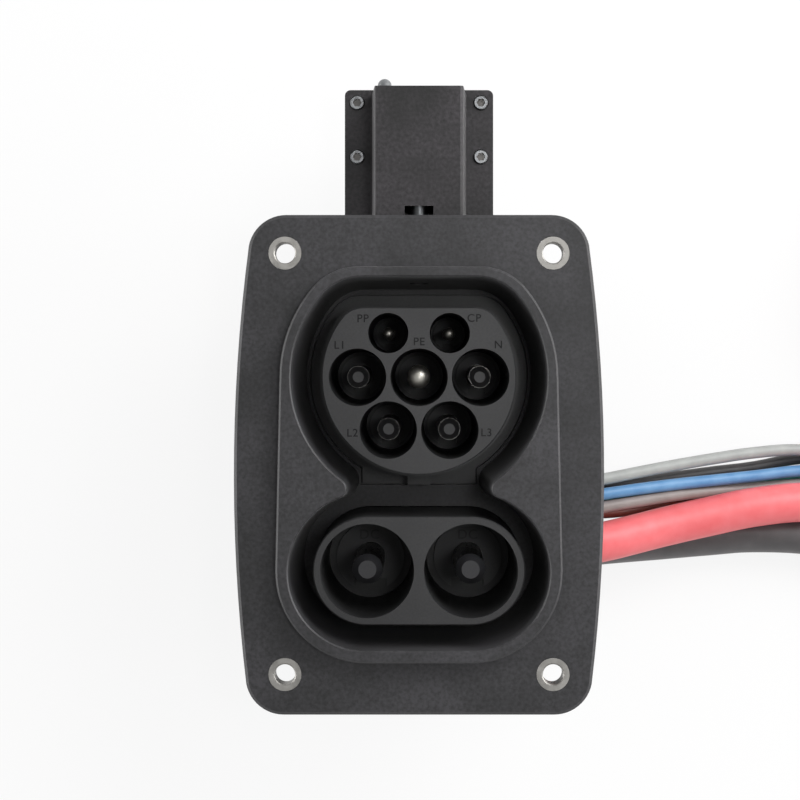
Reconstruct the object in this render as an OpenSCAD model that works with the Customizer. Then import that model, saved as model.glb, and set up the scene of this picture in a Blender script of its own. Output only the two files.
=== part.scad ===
// Charge port inlet: combined AC and DC vehicle charging socket with lock actuator and pigtails.
// Units are millimetres. The origin is the centre of the four flange holes on the flange's rear face.
// +Z points out of the socket, +Y towards the lock actuator, +X to the side the cables leave.

/* [Flange] */
// Height of the flange
flange_h = 130.6; // [118:0.2:160]
// Width of the flange across the bulge of its sides
flange_w = 96.8; // [90:0.2:120]
// Radius of the bulged sides
flange_side_r = 460; // [300:1:800]
// Corner radius of the flange
flange_corner_r = 10; // [5:0.5:14]
// Thickness of the flange
flange_t = 6; // [4:0.5:10]
// Chamfer round the front edge of the flange
flange_edge = 0.8; // [0.2:0.1:1.5]
// Bolt spacing along X
bolt_dx = 70; // [66:0.5:74]
// Bolt spacing along Y
bolt_dy = 110; // [106:0.5:114]
// Outer diameter of the compression sleeves
sleeve_od = 8.6; // [8:0.1:10]
// Inner diameter of the compression sleeves
sleeve_id = 5.3; // [5:0.1:6.6]

/* [Collar and recess] */
// Height of the collar's front above the flange's rear face
collar_z = 12; // [9:0.5:18]
// Half width of the collar's foot at the DC contacts
collar_half_w = 37.5; // [37:0.1:40]
// How much narrower the collar is on each side at the AC contacts
collar_taper = 1.1; // [0.5:0.1:1.5]
// Height of the collar's flat top over the AC centre
collar_flat = 29; // [28.6:0.1:32]
// Radius of the collar's upper corners
collar_corner = 16; // [10:0.5:18]
// Width of the collar's rim beside the AC opening
side_rim = 2.85; // [2.5:0.05:4]
// Width of the collar's rim above the AC opening
top_rim = 2.55; // [2:0.05:3.5]
// Width of the collar's rim round the DC opening
dc_rim = 3.25; // [2.8:0.05:4.5]
// Radius of the cusps between the two openings
cusp_r = 2.2; // [1.6:0.1:2.8]
// Chamfer round the mouth
mouth_chamfer = 0.35; // [0.2:0.05:0.6]
// Draft of the recess walls over their whole depth
recess_draft = 2.2; // [1:0.1:2.6]
// Floor of the recess
floor_z = -27; // [-30:0.5:-24]
// Thickness of the recess floor
floor_t = 3; // [2.5:0.1:4]

/* [Contacts] */
// Height of the AC centre over the flange centre
ac_y = 22.6; // [20:0.1:25]
// Height of the DC centres under the flange centre
dc_y = -27.7; // [-30:0.1:-26]
// Spacing of the two DC contacts
dc_pitch = 27; // [26.5:0.1:27.5]
// Radius of the AC core's face
ac_core_r = 25.3; // [25:0.1:26]
// Height of the AC core's flat top over the AC centre
ac_core_flat = 18.2; // [17.5:0.1:19]
// Radius of the DC core's round ends
dc_core_r = 14.07; // [13.5:0.01:14.5]
// Front of both cores
core_z = 9; // [7:0.5:11]
// Radius of the AC power wells at the face
power_well_r = 7.5; // [7:0.05:7.6]
// Radius of the AC signal wells at the face
signal_well_r = 5.25; // [4.5:0.05:5.4]
// Radius of the DC wells at the face
dc_well_r = 12.25; // [11.5:0.05:12.4]
// Diameter of the AC power pins
power_pin_d = 6; // [5.5:0.1:6.5]
// Diameter of the signal pins
signal_pin_d = 3; // [2.5:0.1:3.5]
// Diameter of the DC pins
dc_pin_d = 8; // [7.5:0.1:8.5]

/* [Rear] */
// Thickness of the contact carrier behind the cores
carrier_t = 6; // [5:0.5:8]
// Rear face of the cover, on which the part rests
rest_z = -70; // [-80:1:-70]
// Wall of the rear cover
cover_wall = 2.5; // [2:0.1:3.5]

/* [Lock actuator] */
// Axis of the lock pin
pin_z = -9; // [-11:0.5:-8]
// Diameter of the lock pin
pin_d = 5; // [4:0.1:6]
// Stroke of the lock pin
lock_stroke = 5; // [4:0.1:5]
// Front of the actuator cover
act_front_z = -4; // [-5:0.1:-3.5]
// Lower edge of the actuator cover
act_y0 = 65.5; // [65.5:0.1:66]
// Upper edge of the actuator cover
act_y1 = 100; // [99.5:0.1:104]
// Half width of the actuator cover at its front
act_half_front = 11.8; // [11.7:0.1:12.5]
// Half width of the actuator cover at its ears
act_half_rear = 13; // [12.8:0.1:13.5]
// Half width over the ears
ear_half_w = 20.4; // [20:0.1:24]

/* [Cables] */
// Diameter of the DC cables
dc_cable_d = 11.4; // [10:0.1:12]
// Diameter of the AC wires and the signal lead
wire_d = 3.4; // [2.5:0.1:3.4]

/* [Hidden] */
$fn = 48;
// Assembly gap between fixed pieces, and running clearance of turning and sliding ones
fit = 0.1;
run = 0.05;

// Depth stations behind the flange
housing_rear = floor_z - floor_t;
carrier_rear = housing_rear - carrier_t;
pocket_t = 2;
well_z = housing_rear - pocket_t;
body_in = 0.9;

// The flange reaches a little further down than up, and bulges most below its middle
flange_y = -0.3;
bulge_y = -2.7;

// The collar's lower corners, and the openings of the recess at its mouth
ac_collar_r = collar_half_w - collar_taper;
dc_corner_r = collar_half_w - dc_pitch/2;
ac_mouth_r = ac_collar_r - side_rim;
ac_mouth_flat = collar_flat - top_rim;
ac_mouth_corner = collar_corner - 1;
dc_mouth_r = dc_corner_r - dc_rim;
// The cusps keep at least this far off the line between an AC and a DC centre
cusp_off = 3;

// The AC core: its step and corners, and how far in its ledge and shoulder lie from the collar
core_step = 12;
power_draft = 0.85;
signal_draft = 0.5;
core_corner = 7;
step_out = 1.15;
ledge_in = [6.7, 7, 7];
ledge_half = 15.6;
ledge_low = -7;
shoulder_in = [4, 4.8, 5];
shoulder_out = 2.3;

// AC contact places about the AC centre
row = 16;
low_row = -13.7;
high_row = 11.5;

// Screws that hold the cover and the carrier to the housing: place and outward direction
ear_r = 4;
ear_out = 3.5;
ear_hole = 18;
body_half = collar_half_w - body_in;
body_top = ac_y + collar_flat - body_in;
body_bottom = dc_y - dc_corner_r + body_in;
ears = [[[body_half + ear_out, 14], [1, 0]],
        [[12, body_bottom - ear_out], [0, -1]],
        [[14.5, body_top + ear_out], [0, 1]]];

// Cable outlet on the right of the cover
outlet_x = collar_half_w + 5.5;
outlet_y = [-45, 2.5];
window_y = [-38.5, -4];
window_z = [rest_z + 2.6, carrier_rear - 2];
clamp_t = 2.4;
exit_x = outlet_x + clamp_t;
pos_z = -45.5;
neg_z = -59;
// The positive cable is led up through the seal at this angle
pos_tilt = 5.7;
barrel_r = 6.3;
barrel_len = 14;
// Wire places in the seal, as Y and Z
wire_rows = [-44, -49];
wire_cols = [-8.5, -12.5, -16.5];

// Actuator stations
act_wall = 1.2;
ear_z = -24;
ear_t = 2;
act_rear = ear_z - ear_t;
base_z = -34;
ear_top = act_y1 + 1.3;
screw_x = 17;
ear_corner = 1.6;
screw_y = [act_y1 - 17.1, act_y1 - 2.2];
tower_half = 9.5;
tower_front = -4;
tower_top = act_y0 - fit;
recess_top_at_pin = ac_y + ac_mouth_flat - mouth_chamfer
    - recess_draft*(collar_z - mouth_chamfer - pin_z)/(collar_z - mouth_chamfer - floor_z);
pin_tip_y = recess_top_at_pin + 0.2;

// Gear train: rack and pinion of module 0.8, wheel and motor pinion of module 0.6
rack_m = 0.8;
wheel_m = 0.6;
pinion_n = 12;
wheel_n = 30;
motor_n = 10;
backlash = 0.14;
axle_r = 1.25;
gear_c = [1.5, 81];
rack_x = gear_c[0] - rack_m*pinion_n/2;
motor_dist = wheel_m*(wheel_n + motor_n)/2;
motor_c = [0, gear_c[1] + sqrt(pow(motor_dist, 2) - pow(gear_c[0], 2))];
mesh_angle = atan2(motor_c[1] - gear_c[1], motor_c[0] - gear_c[0]);
slider_z = [-11.6, -6.6];
slider_y = [act_y0 + act_wall + lock_stroke + 0.7, 92];
rod_x = -9.2;
rod_r = 1.85;
rod_top = act_y1 + 2.4;
wheel_z = -15.6;
wheel_t = 3;

// Loom loop on the table, and the routes of the eight cords up to it
loop_c = [198, 42];
loop_r = [43, 81.6];
loop_h = 13;
seal_x = outlet_x - 9;
pos_start = dc_pitch/2 + barrel_len + 0.2;
neg_start = barrel_len - dc_pitch/2 + 0.2;
pos_seal_y = dc_y + (seal_x - pos_start - 3)*tan(pos_tilt);
pos_route = [[pos_start, dc_y, pos_z], [pos_start + 3, dc_y, pos_z],
             [outlet_x + 3, pos_seal_y + (outlet_x + 3 - seal_x)*tan(pos_tilt), pos_z - 0.1],
             [54, -24.8, -47.2], [62, -23.1, -49.6], [70, -21.3, -51.8], [84, -18.3, -53.6], [98, -15.6, -54.9],
             [114, -14.4, -57], [131, -16, -60.4], [148, -18.6, -63.4], [165, -19.9, -64.2]];
neg_route = [[neg_start, dc_y, neg_z], [20, dc_y, neg_z], [outlet_x + 3, dc_y, neg_z - 0.1], [54, -27.1, -60.2],
             [62, -26.6, -61.9], [70, -26.1, -63.3], [84, -25, -64.2], [98, -24, -64.2], [120, -25.2, -64.2],
             [145, -29.6, -64.2], [165, -32, -64.2], [180, -33, -64.2]];
l3_route = [[36, -8.5, -44], [45.5, -8.2, -44.2], [54, -6.8, -45.6], [64, -5, -48.4], [75, -3.2, -52],
            [86, -1.6, -55.6], [98, -0.1, -59], [111, 0.6, -62], [127, -0.6, -63.8], [144, -2.4, -64]];
n_route = [[36, -12.5, -44], [45.5, -12.3, -44.2], [54, -11.1, -45.6], [64, -9.9, -48.4], [75, -8.8, -52],
           [86, -7.9, -55.6], [98, -6.9, -59], [111, -5.6, -62], [127, -5.2, -63.8], [144, -6.6, -64]];
signal_route = [[36, -16.5, -44], [45.5, -16.3, -44.2], [54, -14.8, -45.8], [64, -13.4, -49], [75, -12, -53],
                [86, -11.2, -57.4], [98, -10.6, -61.4], [111, -9.6, -63.6], [127, -9.2, -64.2],
                [144, -10.8, -64]];
l2_route = [[36, -8.5, -49], [45.5, -8.6, -49.2], [54, -8.9, -50.6], [64, -8.2, -53.4], [75, -7, -57],
            [86, -5.8, -60.6], [98, -4.6, -64.2], [111, -2.4, -66.8], [127, -1.6, -68.1], [144, -2.4, -68.2]];
pe_route = [[36, -12.5, -49], [45.5, -12.5, -49.2], [54, -12.5, -50.6], [64, -11.6, -53.4], [75, -10.8, -57],
            [86, -10, -60.8], [98, -9, -64.4], [111, -6.9, -67], [127, -6, -68.1], [144, -6.8, -68.2]];
l1_route = [[36, -16.5, -49], [45.5, -16.7, -49.4], [54, -17, -51.6], [64, -16.2, -56.4], [75, -14.9, -61.2],
            [86, -13.8, -65.2], [98, -13, -67.4], [111, -12, -68.2], [127, -10.8, -68.2], [144, -11, -68.2]];

// Shared helpers

module both() {
    children();
    mirror([1, 0, 0]) children();
}

// Prism of a Y-Z outline along X, and of an X-Z outline along Y
module along_x(x0, x1) {
    translate([x0, 0, 0]) rotate([90, 0, 90]) linear_extrude(x1 - x0) children();
}

module along_y(y0, y1) {
    translate([0, y1, 0]) rotate([90, 0, 0]) linear_extrude(y1 - y0) children();
}

module block(x, y, z) {
    translate([x[0], y[0], z[0]]) cube([x[1] - x[0], y[1] - y[0], z[1] - z[0]]);
}

function unit(v) = v/norm(v);

// Turn that hides the seam of a round solid under the flat top's opposite side
seam = -90;

// Corner arcs cross the round sides by this much, because solids with tangent round faces close badly
overlap = 0.03;

// Centre of the corner arc between a circle of radius r and a flat at height f
function d_corner(r, f, c) = [sqrt(pow(r - c + overlap, 2) - pow(f - c, 2)), f - c];

// Wedge from a corner centre, out between two directions
module wedge(a, b, reach, h) {
    linear_extrude(h) polygon([[0, 0], reach*a, 1.5*reach*unit(a + b), reach*b]);
}

// Round shape with a flat top and rounded corners, inset by i0 at the bottom and by i1 at the top
module d_solid(r, flat, corner, i0, i1, h) {
    c = d_corner(r, flat, corner);
    difference() {
        intersection() {
            rotate(seam) cylinder(r1 = r - i0, r2 = r - i1, h = h);
            along_x(-2*r, 2*r) polygon([[-2*r, 0], [flat - i0, 0], [flat - i1, h], [-2*r, h]]);
        }
        both() translate([c[0], c[1], 0]) difference() {
            translate([0, 0, -0.01]) wedge([0, 1], unit(c), 1.3*corner, h + 0.02);
            cylinder(r1 = corner - i0, r2 = corner - i1, h = h);
        }
    }
}

// Shape with two round ends along X, inset by i0 at the bottom and by i1 at the top
module stadium(r, pitch, i0, i1, h) {
    both() translate([pitch/2, 0, 0]) rotate(180) cylinder(r1 = r - i0, r2 = r - i1, h = h);
    along_x(-pitch/2, pitch/2) polygon([[i0 - r, 0], [r - i0, 0], [r - i1, h], [i1 - r, h]]);
}

// Half space left of a side that leans in towards the AC end
module leaning_side(span, lean, i0, i1, h) {
    back = -3*collar_half_w;
    translate([collar_half_w + overlap, dc_y, 0]) rotate(lean)
        along_y(-span, 2*span) polygon([[back, 0], [-i0, 0], [-i1, h], [back, h]]);
}

// Outline of the collar and the body: AC shape above, leaning sides, DC shape below
module body(i0, i1, h) {
    span = ac_y - dc_y;
    lean = atan(collar_taper/span);
    translate([0, ac_y, 0]) d_solid(ac_collar_r, collar_flat, collar_corner, i0, i1, h);
    translate([0, dc_y, 0]) stadium(dc_corner_r, dc_pitch, i0, i1, h);
    intersection() {
        block([-2*collar_half_w, 2*collar_half_w], [dc_y, ac_y], [0, h]);
        leaning_side(span, lean, i0, i1, h);
        mirror([1, 0, 0]) leaning_side(span, lean, i0, i1, h);
    }
}

// One depth stage of the recess, inset by i0 at the bottom and by i1 at the top
module recess_stage(i0, i1, h) {
    ac_reach = ac_mouth_r + cusp_r;
    dc_reach = dc_mouth_r + cusp_r;
    span = [dc_pitch/2, dc_y - ac_y];
    along = (pow(ac_reach, 2) - pow(dc_reach, 2) + pow(norm(span), 2))/(2*norm(span));
    side = sqrt(max(pow(cusp_off, 2), pow(ac_reach, 2) - pow(along, 2)));
    tip = along*unit(span) + side*unit([-span[1], span[0]]);
    translate([0, ac_y, 0]) {
        d_solid(ac_mouth_r, ac_mouth_flat, ac_mouth_corner, i0, i1, h);
        both() translate([tip[0], tip[1], 0]) difference() {
            wedge(unit(-tip), unit(span - tip), 18, h);
            translate([0, 0, -0.01]) cylinder(r1 = cusp_r + i0, r2 = cusp_r + i1, h = h + 0.02);
        }
    }
    translate([0, dc_y, 0]) stadium(dc_mouth_r, dc_pitch, i0, i1, h);
}

module recess() {
    over = 0.1;
    depth = collar_z - mouth_chamfer - floor_z;
    // both stages run past the edge between them
    translate([0, 0, collar_z - mouth_chamfer - over])
        recess_stage(mouth_chamfer + over, -over, mouth_chamfer + 2*over);
    translate([0, 0, floor_z])
        recess_stage(mouth_chamfer + recess_draft, mouth_chamfer - recess_draft*over/depth, depth + over);
}

// Ledge of the AC core that fills the floor of the AC recess, grown by g
module ledge(g, h) {
    d_solid(ac_collar_r - ledge_in[0] + g, collar_flat - ledge_in[1] + g, collar_corner - ledge_in[2] + g, 0, 0, h);
    block([-ledge_half - g, ledge_half + g], [ledge_low - ac_y - g, 0], [0, h]);
}

// Rear shoulders by which the carrier clamps the cores, grown by g
module ac_shoulder(g, h) {
    half = ledge_half + shoulder_out;
    d_solid(ac_collar_r - shoulder_in[0] + g, collar_flat - shoulder_in[1] + g, collar_corner - shoulder_in[2] + g,
            0, 0, h);
    block([-half - g, half + g], [ledge_low - shoulder_out - ac_y - g, 0], [0, h]);
}

module dc_shoulder(g, h) {
    stadium(dc_core_r + shoulder_out + g, dc_pitch, 0, 0, h);
}

module at_ears() {
    both() for (e = ears) translate([e[0][0], e[0][1], 0])
        rotate(atan2(e[1][1], e[1][0])) children();
}

// Ear with its web back into the body
module ear(h) {
    cylinder(r = ear_r, h = h);
    block([-ear_out - 1.4, 0], [-ear_r, ear_r], [0, h]);
}

module at_bolts() {
    for (x = [-1, 1], y = [-1, 1]) translate([x*bolt_dx/2, y*bolt_dy/2, 0]) children();
}

// Six-lobe recess of a screw head, seen from the front
module lobes(r, h) {
    for (a = [0:60:300]) rotate(a) translate([0.6*r, 0, 0]) cylinder(r = 0.4*r, h = h, $fn = 16);
    cylinder(r = 0.75*r, h = h, $fn = 16);
}

// Pan-head screw with its head towards +Z and its seat at z = 0
module screw(shank_r, length, head_r, head_h) {
    translate([0, 0, -length]) cylinder(r = shank_r, h = length + 0.1, $fn = 24);
    difference() {
        union() {
            cylinder(r = head_r, h = 0.75*head_h, $fn = 32);
            translate([0, 0, 0.75*head_h])
                cylinder(r1 = head_r, r2 = 0.88*head_r, h = 0.25*head_h, $fn = 32);
        }
        translate([0, 0, 0.2*head_h]) lobes(0.6*head_r, head_h);
    }
}

// Front housing

// Plate with bulged sides, inset by i0 at the bottom and by i1 at the top
module flange(i0, i1, h) {
    off = flange_side_r - flange_w/2;
    half_h = flange_h/2;
    reach = flange_side_r - flange_corner_r + overlap;
    translate([0, flange_y, 0]) difference() {
        intersection() {
            for_sides(off) cylinder(r1 = flange_side_r - i0, r2 = flange_side_r - i1, h = h, $fn = 480);
            along_x(-flange_w, flange_w)
                polygon([[i0 - half_h, 0], [half_h - i0, 0], [half_h - i1, h], [i1 - half_h, h]]);
        }
        for (m = [-1, 1]) {
            cy = m*(half_h - flange_corner_r);
            cx = sqrt(pow(reach, 2) - pow(cy - bulge_y, 2)) - off;
            both() translate([cx, cy, 0]) difference() {
                translate([0, 0, -0.01])
                    wedge([0, m], unit([cx + off, cy - bulge_y]), 1.3*flange_corner_r, h + 0.02);
                cylinder(r1 = flange_corner_r - i0, r2 = flange_corner_r - i1, h = h);
            }
        }
    }
}

// Lens between two large cylinders whose axes lie off the middle
module for_sides(off) {
    intersection() {
        translate([-off, bulge_y, 0]) children();
        translate([off, bulge_y, 0]) children();
    }
}

module front_housing() {
    edge = 0.5;
    color("#1b1b1d") difference() {
        union() {
            flange(0, 0, flange_t - flange_edge);
            translate([0, 0, flange_t - flange_edge]) flange(0, flange_edge, flange_edge);
            translate([0, 0, flange_t - 1]) body(0, 0.4, collar_z - edge - flange_t + 1);
            translate([0, 0, collar_z - edge]) body(0.4, 0.4 + edge, edge);
            translate([0, 0, housing_rear]) body(body_in, body_in, flange_t - housing_rear - 1);
            translate([0, 0, housing_rear]) at_ears() ear(1 - housing_rear);
            block([-tower_half, tower_half], [ac_y + 24, tower_top], [act_rear, tower_front]);
        }
        recess();
        translate([0, ac_y, housing_rear - 1]) ledge(0.45, floor_t + 1.5);
        translate([0, dc_y, housing_rear - 1]) stadium(dc_core_r + 0.3, dc_pitch, 0, 0, floor_t + 1.5);
        translate([0, 0, -1]) at_bolts() cylinder(d = sleeve_od + fit, h = flange_t + 2);
        translate([0, 0, housing_rear - 1]) at_ears() cylinder(r = 1.75, h = ear_hole + 1, $fn = 24);
        // guide bore of the lock pin with the seat of its seal
        translate([0, tower_top + 1, pin_z]) rotate([90, 0, 0]) cylinder(d = pin_d + 2*run, h = 24);
        translate([0, tower_top + 1, pin_z]) rotate([90, 0, 0]) cylinder(d = pin_d + 4 + fit, h = 4);
        both() translate([6, 57, act_rear - 1]) cylinder(r = 1.3, h = 13, $fn = 24);
    }
}

module mounting_sleeves() {
    color("#b9bcc0") at_bolts() difference() {
        cylinder(d = sleeve_od, h = flange_t);
        translate([0, 0, -1]) cylinder(d = sleeve_id, h = flange_t + 2);
        translate([0, 0, flange_t - 0.3]) cylinder(d1 = sleeve_id, d2 = sleeve_id + 0.7, h = 0.35);
    }
}

// Cores

module at_power() {
    for (x = [-row, 0, row]) translate([x, ac_y, 0]) children();
    for (x = [-row/2, row/2]) translate([x, ac_y + low_row, 0]) children();
}

module at_signal() {
    both() translate([row/2, ac_y + high_row, 0]) children();
}

module at_dc() {
    both() translate([dc_pitch/2, dc_y, 0]) children();
}

module ac_core() {
    step_z = core_z - core_step;
    edge = 0.3;
    well_h = core_z - well_z;
    color("#202022") difference() {
        union() {
            translate([0, ac_y, step_z - 1])
                d_solid(ac_core_r, ac_core_flat, core_corner, 0, 0, core_z - step_z + 1 - edge);
            translate([0, ac_y, core_z - edge]) d_solid(ac_core_r, ac_core_flat, core_corner, 0, edge, edge);
            translate([0, ac_y, well_z])
                d_solid(ac_core_r + step_out, ac_core_flat + 0.2, core_corner, 0, 0, step_z - well_z);
            translate([0, ac_y, well_z + 0.5]) ledge(0, floor_z - well_z - 1);
            translate([0, ac_y, well_z]) ac_shoulder(0, pocket_t - fit);
            // index rib under the core
            block([-3.1, 3.1], [-6.9, -2], [well_z + 1, floor_z + 9]);
        }
        translate([0, 0, well_z - 0.01]) {
            at_power() cylinder(r1 = power_well_r - power_draft, r2 = power_well_r, h = well_h + 0.02);
            at_signal() cylinder(r1 = signal_well_r - signal_draft, r2 = signal_well_r, h = well_h + 0.02);
        }
    }
}

module dc_core() {
    edge = 0.3;
    well_h = core_z - well_z;
    color("#202022") difference() {
        union() {
            translate([0, dc_y, well_z]) stadium(dc_core_r, dc_pitch, 0, 0, well_h - edge);
            translate([0, dc_y, core_z - edge]) stadium(dc_core_r, dc_pitch, 0, edge, edge);
            translate([0, dc_y, well_z]) dc_shoulder(0, pocket_t - fit);
        }
        at_dc() translate([0, 0, well_z - 0.01])
            cylinder(r1 = dc_well_r - power_draft, r2 = dc_well_r, h = well_h + 0.02);
    }
}

// Contacts: pin in front of the carrier, sealed body in its bore, collar and crimp barrel behind

power_body_r = 3.5;
signal_body_r = 2.2;
dc_body_r = 6;
groove_z = carrier_rear + 1.2;
groove_h = 1.2;
groove_d = 0.9;
// The carrier keeps a lid over each contact body, through which only the pin passes
lid = 0.8;
body_top_z = well_z - lid;
pin_foot = body_top_z - 0.5;

module contact_body(body_r, collar_r, crimp_r, crimp_len) {
    difference() {
        union() {
            translate([0, 0, carrier_rear]) cylinder(r = body_r, h = body_top_z - carrier_rear);
            translate([0, 0, carrier_rear - 1.5]) cylinder(r = collar_r, h = 1.5 - fit/2);
            translate([0, 0, carrier_rear - crimp_len]) cylinder(r = crimp_r, h = crimp_len);
        }
        translate([0, 0, groove_z]) difference() {
            cylinder(r = body_r + 1, h = groove_h);
            cylinder(r = body_r - groove_d, h = groove_h);
        }
        translate([0, 0, carrier_rear - crimp_len - 1]) cylinder(r = 0.6*crimp_r, h = crimp_len - 2);
    }
}

// Pin with a chamfered end that carries an insulating cap
module capped_pin(r, top) {
    translate([0, 0, pin_foot]) cylinder(r = r, h = top - pin_foot - 0.4);
    translate([0, 0, top - 0.4]) cylinder(r1 = r, r2 = r - 0.15, h = 0.4);
}

module domed_pin(r, top) {
    translate([0, 0, pin_foot]) cylinder(r = r, h = top - r - pin_foot);
    translate([0, 0, top - r]) intersection() {
        sphere(r = r);
        translate([0, 0, -0.1]) cylinder(r = r + 1, h = r + 1);
    }
}

cap_h = 1.7;
power_top = 1 - cap_h;
dc_cap_h = 2.4;
dc_top = 5 - dc_cap_h;

module power_contact(x, y) {
    color("#c9cbce") translate([x, ac_y + y, 0]) {
        contact_body(power_body_r, 4.6, 2.6, 14);
        capped_pin(power_pin_d/2, power_top);
    }
}

module signal_contact(x) {
    color("#c9cbce") translate([x, ac_y + high_row, 0]) {
        contact_body(signal_body_r, 3, 1.8, 10);
        domed_pin(signal_pin_d/2, -2);
    }
}

module l1_contact() power_contact(-row, 0);
module n_contact() power_contact(row, 0);
module l2_contact() power_contact(-row/2, low_row);
module l3_contact() power_contact(row/2, low_row);
module pp_contact() signal_contact(-row/2);
module cp_contact() signal_contact(row/2);

module pe_contact() {
    color("#d3d5d8") translate([0, ac_y, 0]) {
        contact_body(power_body_r, 4.6, 2.6, 14);
        domed_pin(power_pin_d/2, 4);
    }
}

// Right-angle DC contact, whose crimp barrel points to the cable outlet
module dc_contact(x, barrel_z) {
    color("#c9a877") translate([x, dc_y, 0]) {
        difference() {
            union() {
                contact_body(dc_body_r, 8, 6, 1);
                translate([0, 0, barrel_z]) cylinder(r = 6, h = carrier_rear - barrel_z);
                translate([-barrel_r, 0, barrel_z]) rotate([0, 90, 0])
                    cylinder(r = barrel_r, h = barrel_r + barrel_len);
            }
            translate([0, 0, barrel_z]) rotate([0, 90, 0]) cylinder(r = 4.4, h = barrel_len + 1);
        }
        capped_pin(dc_pin_d/2, dc_top);
    }
}

module dc_positive_contact() dc_contact(dc_pitch/2, pos_z);
module dc_negative_contact() dc_contact(-dc_pitch/2, neg_z);

module ac_pin_caps() {
    color("#2c2c2e") for (p = [[-row, 0], [row, 0], [-row/2, low_row], [row/2, low_row]])
        translate([p[0], ac_y + p[1], power_top]) cylinder(r1 = power_pin_d/2 - 0.2, r2 = 1.45, h = cap_h);
}

module dc_pin_caps() {
    color("#2c2c2e") at_dc() translate([0, 0, dc_top])
        cylinder(r1 = dc_pin_d/2 - 0.05, r2 = 2.35, h = dc_cap_h);
}

module contact_seal(body_r) {
    ring_r = groove_d/2 - 0.01;
    translate([0, 0, groove_z + groove_h/2]) rotate_extrude()
        translate([body_r - groove_d/2, 0]) circle(ring_r, $fn = 16);
}

module contact_seals() {
    color("#7a2f22") {
        at_power() contact_seal(power_body_r);
        at_signal() contact_seal(signal_body_r);
    }
}

module dc_contact_seals() {
    color("#7a2f22") at_dc() contact_seal(dc_body_r);
}

// Carrier, cover and their seals

module seal_ring(g, h) {
    difference() {
        body(body_in + 0.8 - g, body_in + 0.8 - g, h);
        translate([0, 0, -1]) body(body_in + 2 + g, body_in + 2 + g, h + 2);
    }
}

// Boss round a pin and the drain notch under it in the floor of a well
module well_floor(boss_r, pin_r, notch_w, notch_y) {
    translate([0, 0, well_z - 0.1]) difference() {
        cylinder(r = boss_r, h = 1.6);
        translate([0, 0, -1]) cylinder(r = pin_r + fit, h = 4);
        block([-notch_w/2, notch_w/2], [-boss_r - 1, -notch_y], [-1, 4]);
    }
}

module contact_carrier() {
    bore_h = body_top_z + fit - carrier_rear + 1;
    color("#26262a") difference() {
        union() {
            difference() {
                translate([0, 0, carrier_rear]) {
                    body(body_in, body_in, carrier_t - fit);
                    at_ears() ear(carrier_t - fit);
                }
                translate([0, ac_y, well_z]) ac_shoulder(0.2, pocket_t + 1);
                translate([0, dc_y, well_z]) dc_shoulder(0.2, pocket_t + 1);
                translate([0, 0, housing_rear - 1.1]) seal_ring(run, 2);
            }
            at_power() well_floor(5.6, power_pin_d/2, 4.8, 3.3);
            at_signal() well_floor(3.9, signal_pin_d/2, 3, 2.6);
            at_dc() well_floor(9.4, dc_pin_d/2, 9, 6);
        }
        translate([0, 0, carrier_rear - 1]) {
            at_power() cylinder(r = power_body_r + run, h = bore_h);
            at_signal() cylinder(r = signal_body_r + run, h = bore_h);
            at_dc() cylinder(r = dc_body_r + run, h = bore_h);
            at_power() cylinder(r = power_pin_d/2 + fit, h = carrier_t);
            at_signal() cylinder(r = signal_pin_d/2 + fit, h = carrier_t);
            at_dc() cylinder(r = dc_pin_d/2 + fit, h = carrier_t);
            at_ears() cylinder(r = 1.9, h = carrier_t + 2, $fn = 24);
        }
    }
}

module rear_seal() {
    color("#141416") translate([0, 0, housing_rear - 1.05]) seal_ring(0, 1);
}

module temp_sensors() {
    color("#3b5a8c") at_dc() translate([0, 10.6, carrier_rear - 8]) {
        cylinder(r = 1.8, h = 8 - fit/2, $fn = 24);
        translate([0, 0, 6]) cylinder(r = 2.4, h = 1.2, $fn = 24);
    }
}

module rear_cover() {
    cover_h = carrier_rear - rest_z;
    edge = 1.5;
    rib_h = 5;
    color("#1b1b1d") difference() {
        union() {
            translate([0, 0, rest_z]) body(body_in + edge, body_in, edge);
            translate([0, 0, rest_z + edge]) body(body_in, body_in, cover_h - edge - fit);
            translate([0, 0, carrier_rear - 4]) at_ears() ear(4 - fit);
            block([26, outlet_x], outlet_y, [rest_z, carrier_rear - fit]);
        }
        difference() {
            translate([0, 0, rest_z + cover_wall])
                body(body_in + cover_wall, body_in + cover_wall, cover_h);
            // stiffening ribs on the inside of the rear wall
            for (x = [-22, -8, 8]) block([x - 0.9, x + 0.9], [-4, 44], [rest_z, rest_z + cover_wall + rib_h]);
        }
        block([20, outlet_x + 1], window_y, window_z);
        translate([0, 0, carrier_rear - 5]) at_ears() cylinder(r = 1.9, h = 6, $fn = 24);
        for (y = clamp_y, z = clamp_z) translate([outlet_x + 1, y, z]) rotate([0, -90, 0])
            cylinder(r = 1.3, h = 12, $fn = 24);
    }
}

clamp_y = [outlet_y[0] + 3.2, outlet_y[1] - 3.2];
clamp_z = [rest_z + 8, carrier_rear - 8];

module cover_screws() {
    color("#8b8f94") translate([0, 0, carrier_rear - 4]) at_ears() mirror([0, 0, 1]) screw(1.7, 20, 3.2, 2.4);
}

// Seal with eight holes: two for the DC cables, six for the wires
module cable_seal() {
    g = 0.15;
    hole = 0.5;
    color("#141416") difference() {
        block([seal_x, outlet_x - fit], [window_y[0] + g, window_y[1] - g], [window_z[0] + g, window_z[1] - g]);
        translate([seal_x, pos_seal_y, pos_z]) rotate([0, 90, pos_tilt])
            translate([0, 0, -5]) cylinder(d = dc_cable_d + hole, h = 20);
        along_x(seal_x - 5, outlet_x + 5) {
            translate([dc_y, neg_z]) circle(d = dc_cable_d + hole);
            for (y = wire_cols, z = wire_rows) translate([y, z]) circle(d = wire_d + hole, $fn = 24);
        }
    }
}

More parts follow.
